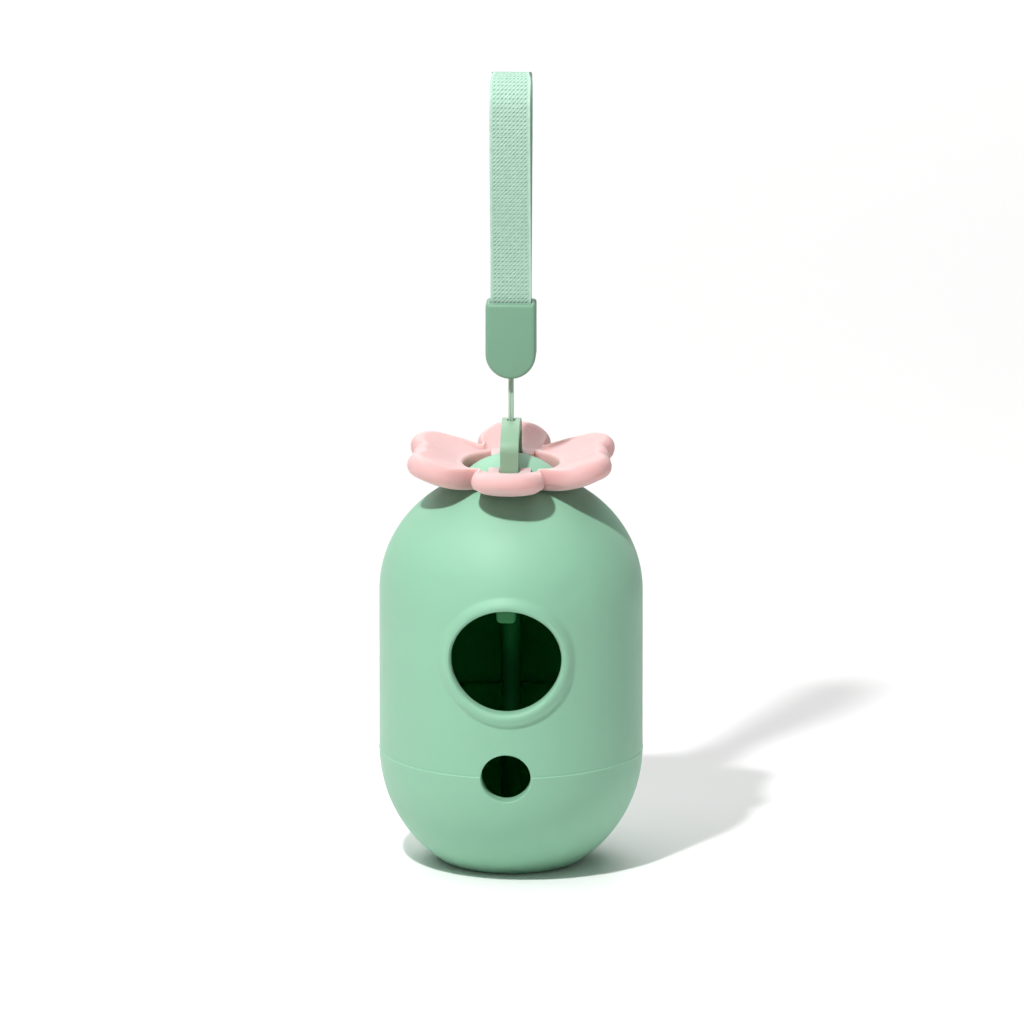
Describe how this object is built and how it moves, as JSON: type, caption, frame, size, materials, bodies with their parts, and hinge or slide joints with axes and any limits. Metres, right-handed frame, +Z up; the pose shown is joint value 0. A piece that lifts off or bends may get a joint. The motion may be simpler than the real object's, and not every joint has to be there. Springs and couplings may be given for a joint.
{
  "type": "waste bag dispenser",
  "caption": "Capsule-shaped holder for rolls of pet waste bags, with a round window, a lift-off shell on a spindle base, a soft flower collar, an arch lug and a webbing wrist loop.",
  "frame": {"origin": "centre of the flat base that it stands on", "axes": "+Z up along the capsule's axis; the window and the small hole face -Y; +X to the right seen from the front"},
  "size_m": [0.052, 0.053, 0.1595],
  "materials": {
    "shell_plastic": "matt mint green moulded plastic",
    "flower_silicone": "soft matt pink silicone",
    "arch_plastic": "satin green moulded plastic",
    "cord": "thin twisted nylon cord",
    "ferrule_plastic": "satin green moulded plastic",
    "webbing": "plain woven polyester webbing",
    "thread": "sewing thread"
  },
  "bodies": {
    "base": {"bottom_cap": "shell_plastic", "spindle": "shell_plastic"},
    "shell": {"body_shell": "shell_plastic", "flower_collar": "flower_silicone", "hanging_bail": "arch_plastic"},
    "knot": {"cord_knot": "cord"},
    "tether": {"strap_cord": "cord"},
    "strap": {"cord_end": "cord", "ferrule": "ferrule_plastic", "webbing_loop": "webbing", "strap_stitching": "thread"}
  },
  "joints": [
    {"name": "shell_lift", "type": "slide", "parent": "base", "child": "shell", "axis": [0, 0, 1], "range_m": [0, 0.06]},
    {"name": "strap_twist", "type": "hinge", "parent": "shell", "child": "knot", "pos_m": [0, 0, 0.0891], "axis": [0, 0, 1], "continuous": true},
    {"name": "strap_tilt", "type": "hinge", "parent": "knot", "child": "tether", "pos_m": [0, 0, 0.0894], "axis": [1, 0, 0], "range_deg": [-85, 85], "deforming": ["strap_cord"]},
    {"name": "strap_sway", "type": "hinge", "parent": "tether", "child": "strap", "pos_m": [0, 0, 0.0974], "axis": [0, 1, 0], "range_deg": [-45, 45]}
  ]
}
